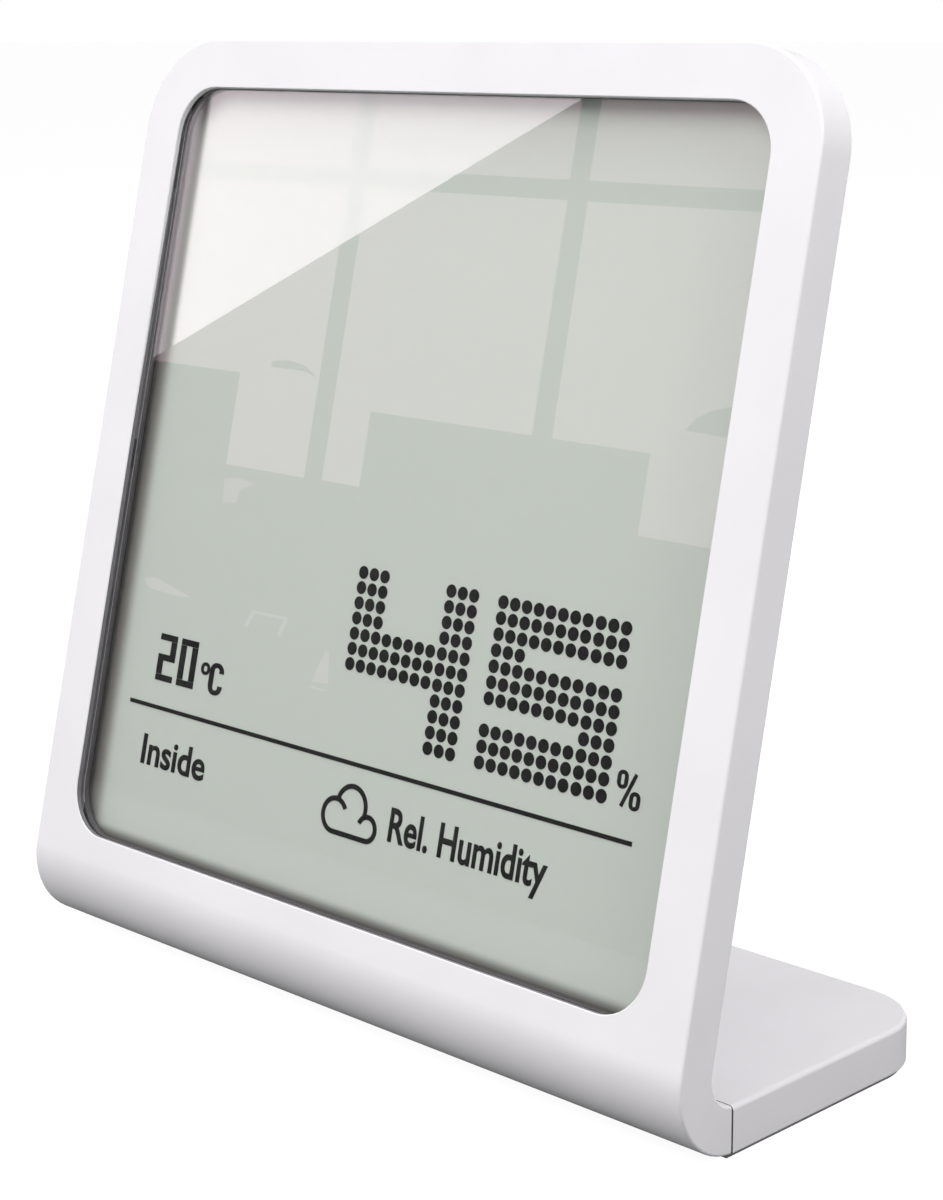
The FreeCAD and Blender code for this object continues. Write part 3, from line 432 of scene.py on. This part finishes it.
def card(name, outlines, colour, strength, layer, cover=1.0):
    """Lit sheets whose mirror image covers those outlines of the window, in mm."""
    points = []
    faces = []
    for outline in outlines:
        faces.append(tuple(range(len(points), len(points) + len(outline))))
        for x, slope in outline:
            points.append(tuple(mirrored(x, slope, layer)))
    sheet = bpy.data.meshes.new(name)
    sheet.from_pydata(points, [], faces)
    piece = bpy.data.objects.new(name, sheet)
    bpy.context.scene.collection.objects.link(piece)
    piece.visible_camera = False
    piece.visible_diffuse = False
    piece.visible_shadow = False
    piece.light_linking.receiver_collection = mirror_only
    glow = bpy.data.materials.new(name)
    glow.use_nodes = True
    tree = glow.node_tree
    tree.nodes.clear()
    light = tree.nodes.new("ShaderNodeEmission")
    light.inputs["Color"].default_value = colour
    light.inputs["Strength"].default_value = strength
    behind = tree.nodes.new("ShaderNodeBsdfTransparent")
    both = tree.nodes.new("ShaderNodeMixShader")
    both.inputs["Fac"].default_value = cover
    surface = tree.nodes.new("ShaderNodeOutputMaterial")
    tree.links.new(behind.outputs["BSDF"], both.inputs[1])
    tree.links.new(light.outputs["Emission"], both.inputs[2])
    tree.links.new(both.outputs["Shader"], surface.inputs["Surface"])
    sheet.materials.append(glow)
    return tree, light, both


def edge_shade(tree, value, start, stop, low=0.0, high=1.0):
    """Runs softly from one value at start to another at stop, both places in metres."""
    ramp = tree.nodes.new("ShaderNodeMapRange")
    ramp.interpolation_type = "SMOOTHERSTEP"
    ramp.inputs["From Min"].default_value = start
    ramp.inputs["From Max"].default_value = stop
    ramp.inputs["To Min"].default_value = low
    ramp.inputs["To Max"].default_value = high
    tree.links.new(value, ramp.inputs["Value"])
    return ramp.outputs["Result"]


wall_layer, pane_layer, thing_layer, screen_layer, curtain_layer = 0, 1, 2, 3, 4
wall_strength, pane_strength, screen_strength = 0.03, 1.08, 6.06
dark_cover, pale_cover, screen_cover = 0.85, 0.6, 0.55
pane_light = (1.0, 0.68, 0.80, 1.0)
screen_light = (1.0, 0.888, 0.953, 1.0)
dark_wall = [((-90, -6), (90, -6), (90, 130), (-90, 130))]
card("dark_wall", dark_wall, plain_white, wall_strength, wall_layer)
panes = [
    ((-60, 74.7), (-13.0, 74.7), (-13.0, 100), (-60, 100)),
    ((-10.2, 74.7), (16.6, 74.7), (16.6, 100), (-10.2, 100)),
    ((19.0, 74.7), (60, 74.7), (60, 100), (19.0, 100)),
    ((-60, 72.8), (-60, 53.0), (-24.6, 53.0), (-24.6, 43.5), (-12.7, 43.5), (-12.7, 72.8)),
    ((-10.1, 72.8), (-10.1, 43.6), (-4.7, 43.6), (-4.7, 51.0), (16.7, 51.0), (16.7, 72.8)),
    ((19.2, 72.8), (19.2, 51.0), (30.9, 51.0), (30.9, 43.7), (60, 43.7), (60, 72.8)),
]
card("pale_panes", panes, pane_light, pane_strength, pane_layer)
dark_things = [
    ((34.4, 53.4), (35.3, 54.5), (36.8, 55.3), (38.9, 55.9), (43.0, 56.1), (43.0, 53.2)),
    ((-20.0, 54.0), (-20.0, 54.6), (-17.6, 54.9), (-15.1, 54.6), (-13.1, 53.6), (-15.0, 54.0)),
]
card("dark_things", dark_things, plain_white, wall_strength, thing_layer, dark_cover)
pale_things = [
    ((-24.5, 42.0), (-22.1, 42.3), (-19.5, 42.0), (-21.8, 41.2), (-22.1, 39.8), (-24.2, 39.6)),
    ((-34.7, 30.1), (-33.1, 30.5), (-30.8, 30.1), (-26.8, 29.3), (-29.3, 29.1), (-33.9, 29.3)),
    ((-17.5, 29.5), (-11.8, 29.6), (-11.9, 29.3), (-17.3, 29.2)),
    ((-17.4, 29.2), (-16.9, 29.2), (-17.6, 27.7), (-18.2, 27.7)),
    ((-12.4, 29.3), (-11.9, 29.3), (-12.7, 27.5), (-13.1, 27.6)),
    ((-5.8, 27.4), (-5.3, 27.0), (-4.8, 24.2), (-7.2, 24.1)),
    ((-7.4, 23.6), (-4.9, 23.6), (-4.9, 23.4), (-7.3, 23.4)),
]
card("pale_things", pale_things, pane_light, pane_strength, thing_layer, pale_cover)
slant = [((16.95, 82.4), (50.0, 99.7), (50.0, 110.0), (-60, 110.0), (-60, 42.2))]
card("slant_screen", slant, screen_light, screen_strength, screen_layer, screen_cover)
curtain = [((-60, 42.2), (-35.3, 55.1), (-35.3, 82.4), (-60, 82.4))]
curtain_bright, curtain_dim = 3.3, 0.4
curtain_dims = (-38.5, -36.0)
curtain_thins = (-36.6, -35.4)
tree, light, both = card("curtain", curtain, screen_light, curtain_bright, curtain_layer)
sideways = place_on_axis(tree, "X")
start, stop = (mirrored(x, 0.0, curtain_layer).x for x in curtain_dims)
dimmed = edge_shade(tree, sideways, start, stop, curtain_bright, curtain_dim)
tree.links.new(dimmed, light.inputs["Strength"])
start, stop = (mirrored(x, 0.0, curtain_layer).x for x in curtain_thins)
thinned = edge_shade(tree, sideways, start, stop, 1.0, 0.0)
tree.links.new(thinned, both.inputs["Fac"])

# Tape frame: a thin double-sided foam tape, die cut as one frame. It holds the window to the
# back of the housing's front skin and keeps dust out.
tape_grey = moulded("tape_grey", linear(150, 148, 153), roughness=0.6)
dress(nodes["lens_tape"], tape_grey)

# Display gasket: a matt charcoal frame of soft rubber, die cut, that holds the display off the
# window and masks the glass edges. Its front at the left and the top is laid pale as painted light.
gasket_front = (1.3, 1.45)
painted_light_left = (-45.0, -39.2)
painted_light_top = (81.5, 90.0)
gasket_charcoal = moulded("gasket_charcoal", linear(90, 87, 91), roughness=0.7)
tree = gasket_charcoal.node_tree
front_face = along(tree, panel_in, gasket_front)
painted_light_sides = compute(tree, "MAXIMUM", along(tree, across, painted_light_left), along(tree, panel_up, painted_light_top))
# Painted light: the shaded front of the frame at the left and the top is laid pale.
paint_over(gasket_charcoal, compute(tree, "MULTIPLY", front_face, painted_light_sides), linear(206, 204, 208))
dress(nodes["display_gasket"], gasket_charcoal)

# Front of the display: a thin grey film bonded to a thin sheet of glass, with ground edges.
# It is nearly invisible by itself, and the liquid crystal lies behind it.
glass_left, glass_low = -41.0, 1.9
glass_right, glass_high = 41.0, 83.95
glass_near, glass_far = 2.05, 2.57
ground = 0.12
points = []
for inset, depth in (
    (ground, glass_near),
    (0.0, glass_near + ground),
    (0.0, glass_far - ground),
    (ground, glass_far),
):
    points.append(on_panel(glass_left + inset, glass_low + inset, depth))
    points.append(on_panel(glass_right - inset, glass_low + inset, depth))
    points.append(on_panel(glass_right - inset, glass_high - inset, depth))
    points.append(on_panel(glass_left + inset, glass_high - inset, depth))
faces = [(0, 1, 2, 3), (15, 14, 13, 12)]
for first in (0, 4, 8):
    for corner in range(4):
        following = (corner + 1) % 4
        faces.append((first + following, first + corner, first + 4 + corner, first + 4 + following))
sheet = bpy.data.meshes.new("display_front")
sheet.from_pydata([tuple(point) for point in points], [], faces)
display_front = bpy.data.objects.new("display_front", sheet)
bpy.context.scene.collection.objects.link(display_front)
film_lumps = 0.003
film_shine = (0.26, 0.34)
display_film, tree, shader = material("display_film", linear(196, 203, 195), roughness=0.3, Alpha=0.01)
shine = spread_between(tree, noise(tree, film_lumps), *film_shine)
tree.links.new(shine, shader.inputs["Roughness"])
dress(display_front, display_film)
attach(display_front, "stand")
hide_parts("front_polariser", "front_glass")

# Edge seal: a bead of cured grey epoxy that joins the two glasses all round. It is printed
# on the rear glass before the two are pressed together.
seal_grey = moulded("seal_grey", linear(88, 86, 84), roughness=0.5)
dress(nodes["display_edge_seal"], seal_grey)

# Figures and signs: the patches of liquid crystal that are switched on, near black with a
# little depth in them. They lie between the front glass and the rear glass.
segment_dark = moulded("segment_dark", linear(17, 16, 18), roughness=0.5, mottle=0.08)
for name in (
    "large_dot_figures",
    "small_figures",
    "degree_sign",
    "percent_sign",
    "dividing_line",
    "cloud_outline",
):
    dress(nodes[name], segment_dark)

# Captions: two plain words under the dividing line, switched on like the figures and
# lying between the same two glasses.
crystal_depth = 2.575
crystal_thickness = 0.04
capital_height = 0.729
stroke_gain = 0.02
curve_steps = 6


def caption(name, words, left, base, height, width):
    """Words in condensed letters on the crystal, fitted to a height and a width in mm."""
    text = bpy.data.curves.new(name, "FONT")
    text.body = words
    text.offset = stroke_gain
    text.resolution_u = curve_steps
    writer = bpy.data.objects.new(name + "_text", text)
    bpy.context.scene.collection.objects.link(writer)
    bpy.context.view_layer.update()
    flat = bpy.data.meshes.new_from_object(writer)
    bpy.data.objects.remove(writer)
    bpy.data.curves.remove(text)
    low_x = min(vertex.co.x for vertex in flat.vertices)
    high_x = max(vertex.co.x for vertex in flat.vertices)
    for vertex in flat.vertices:
        x = left + (vertex.co.x - low_x) / (high_x - low_x) * width
        slope = base + vertex.co.y / capital_height * height
        vertex.co = on_panel(x, slope, crystal_depth)
    shape = bmesh.new()
    shape.from_mesh(flat)
    grown = bmesh.ops.extrude_face_region(shape, geom=shape.faces[:])
    moved = [item for item in grown["geom"] if isinstance(item, bmesh.types.BMVert)]
    bmesh.ops.translate(shape, verts=moved, vec=panel_in * crystal_thickness * mm)
    bmesh.ops.recalc_face_normals(shape, faces=shape.faces[:])
    shape.to_mesh(flat)
    shape.free()
    piece = bpy.data.objects.new(name, flat)
    bpy.context.scene.collection.objects.link(piece)
    dress(piece, segment_dark)
    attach(piece, "stand")


caption("place_caption", "Inside", left=-32.6, base=11.1, height=3.15, width=10.2)
caption("humidity_caption", "Rel. Humidity", left=4.8, base=11.0, height=3.3, width=20.3)

# Rear glass and reflector: a thin sheet of glass with a satin grey-green film bonded to its
# back, which gives the display its colour. Towards the left and lower edges the film is
# painted darker as painted shade of the frame.
film_green = linear(197, 204, 196)
left_painted_shade = linear(150, 148, 143)
low_painted_shade = linear(104, 103, 99)
left_shade = (-0.0393, -0.0367)
low_shade = (0.0114, 0.0129)
film_grain, film_relief = 0.0002, 0.000003
reflector_green, tree, shader = material("reflector_green", film_green, roughness=0.55)
left_light = edge_shade(tree, place_on_axis(tree, "X"), *left_shade)
low_light = edge_shade(tree, place_on_axis(tree, "Z"), *low_shade)
# Painted shade: the film's colour runs to grey towards its left and lower edges.
left_tone = blend_colours(tree, left_light, left_painted_shade, film_green)
film_tone = blend_colours(tree, low_light, low_painted_shade, left_tone)
tree.links.new(film_tone, shader.inputs["Base Color"])
emboss(tree, shader, noise(tree, film_grain), film_relief)
dress(nodes["rear_glass"], reflector_green)
dress(nodes["rear_reflector"], reflector_green)

# Foam pad: black closed-cell foam, cut as a plain sheet. It lies between the display and
# the back cover and presses the display forward.
foam_black = moulded("foam_black", linear(38, 38, 40), roughness=0.9, grain=0.0005, depth=0.00004)
dress(nodes["foam_pad"], foam_black)

# Ribbon: thin amber film with fine conductors, bonded to the rear glass and led round
# the bend to the board.
ribbon_amber = moulded("ribbon_amber", linear(196, 132, 52), roughness=0.3)
dress(nodes["display_ribbon"], ribbon_amber)

# Foot: the upper moulding of the foot, satin white like the housing, with small vents in
# its rear wall. Its front face, which makes the joint with the housing, is painted grey as painted shade
# in the seam.
seam_shade_band = (6.0, 7.0)
foot_white = moulded("foot_white", linear(236, 234, 237), roughness=0.42)
# Painted shade: the front face in the seam gap is laid grey.
paint_over(foot_white, along(foot_white.node_tree, rearward, seam_shade_band), linear(90, 88, 92))
dress(nodes["foot_shell"], foot_white)
smooth_shape(nodes["foot_shell"])

# Base: a thin white plate under the foot with a fine matt texture, moulded flat and held by
# four screws. It has the door's round opening, the button's hole and the seats of the pads.
base_white = moulded("base_white", linear(228, 226, 229), roughness=0.55, grain=0.0005, depth=0.00002)
dress(nodes["foot_base"], base_white)

# Battery door: a round plate moulded like the base, with a ring round the cell and a slot for
# a coin. Three lugs on its rim hold it behind the base once it is turned.
dress(nodes["battery_door"], base_white)

# Coin cell: a pressed steel can and cap, nickel plated, with a dark nylon seal moulded
# between them. It lies in the door's ring.
cell_steel = moulded("cell_steel", linear(205, 205, 207), roughness=0.3, Metallic=1.0)
dress(nodes["coin_cell_can"], cell_steel)
dress(nodes["coin_cell_cap"], cell_steel)
cell_seal = moulded("cell_seal", linear(60, 60, 64), roughness=0.6)
dress(nodes["coin_cell_gasket"], cell_seal)

# Battery contacts: nickel-plated spring strip, stamped and bent. One stands beside the cell
# and touches the can, the other bears on its cap; both are riveted under the foot's top.
contact_nickel = moulded("contact_nickel", linear(212, 208, 196), roughness=0.28, Metallic=1.0)
dress(nodes["positive_clip"], contact_nickel)
dress(nodes["negative_leaf"], contact_nickel)

# Battery leads: thin stranded wires with soft insulation, red for the can and black for the
# cap. They are soldered to the contacts and to the board.
lead_red = moulded("lead_red", linear(186, 34, 30), roughness=0.45)
dress(nodes["red_battery_lead"], lead_red)
lead_black = moulded("lead_black", linear(38, 38, 40), roughness=0.45)
dress(nodes["black_battery_lead"], lead_black)

# Circuit board: glass-fibre laminate with a green solder resist, milled to shape. It hangs
# under the foot's top on the melted pins of three posts.
board_green = moulded("board_green", linear(28, 104, 62), roughness=0.3)
dress(nodes["main_board"], board_green)

# Ribbon connector: a low cream body of moulded nylon, soldered to the board's upper side,
# with a slot that takes the end of the ribbon.
connector_cream = moulded("connector_cream", linear(226, 220, 200), roughness=0.5)
dress(nodes["ribbon_connector"], connector_cream)

# Controller chip: a square package of black moulded epoxy, soldered under the board, with a
# small round mark at its first pin.
chip_black = moulded("chip_black", linear(40, 40, 42), roughness=0.6)
dress(nodes["controller_chip"], chip_black)

# Clock crystal: a small nickel-plated can, pressed and welded shut, soldered beside the
# chip.
crystal_metal = moulded("crystal_metal", linear(200, 200, 203), roughness=0.3, Metallic=1.0)
dress(nodes["clock_crystal"], crystal_metal)

# Chip capacitors: tan ceramic blocks with fired metal ends, soldered under the board where
# the supply and the chip need them.
capacitor_tan = moulded("capacitor_tan", linear(176, 146, 108), roughness=0.35)
dress(nodes["chip_capacitors"], capacitor_tan)

# Chip resistors: black coated ceramic blocks with metal ends, soldered under the board in a
# row beside the chip.
resistor_black = moulded("resistor_black", linear(44, 44, 48), roughness=0.3)
dress(nodes["chip_resistors"], resistor_black)

# Humidity sensor: a small square package of black epoxy with an open port, soldered at the
# board's rear edge behind the vents.
sensor_black = moulded("sensor_black", linear(50, 50, 54), roughness=0.6)
dress(nodes["humidity_sensor"], sensor_black)

# Unit button: a small grey key with a dished face, moulded with a flange that keeps it
# behind the base. A finger under the foot presses it upwards.
button_grey = moulded("button_grey", linear(166, 166, 171), roughness=0.45)
dress(nodes["unit_button"], button_grey)

# Switch: a square black body soldered under the board above the button, with a cream plunger
# that the button pushes in.
switch_black = moulded("switch_black", linear(46, 46, 50), roughness=0.6)
dress(nodes["tact_switch"], switch_black)
plunger_cream = moulded("plunger_cream", linear(222, 214, 190), roughness=0.5)
dress(nodes["switch_plunger"], plunger_cream)

# Screws: zinc-plated steel with a straight slot, cold headed and sunk into the base. They
# cut their own thread in the foot's bosses.
screw_steel = moulded("screw_steel", linear(192, 192, 196), roughness=0.32, Metallic=1.0)
dress(nodes["foot_screws"], screw_steel)

# Pads: round feet of soft matt grey silicone, die cut and glued into seats in the base, so
# that the foot does not slip.
pad_rubber = moulded("pad_rubber", linear(150, 150, 154), roughness=0.8, grain=0.0004, depth=0.00001)
dress(nodes["foot_pads"], pad_rubber)
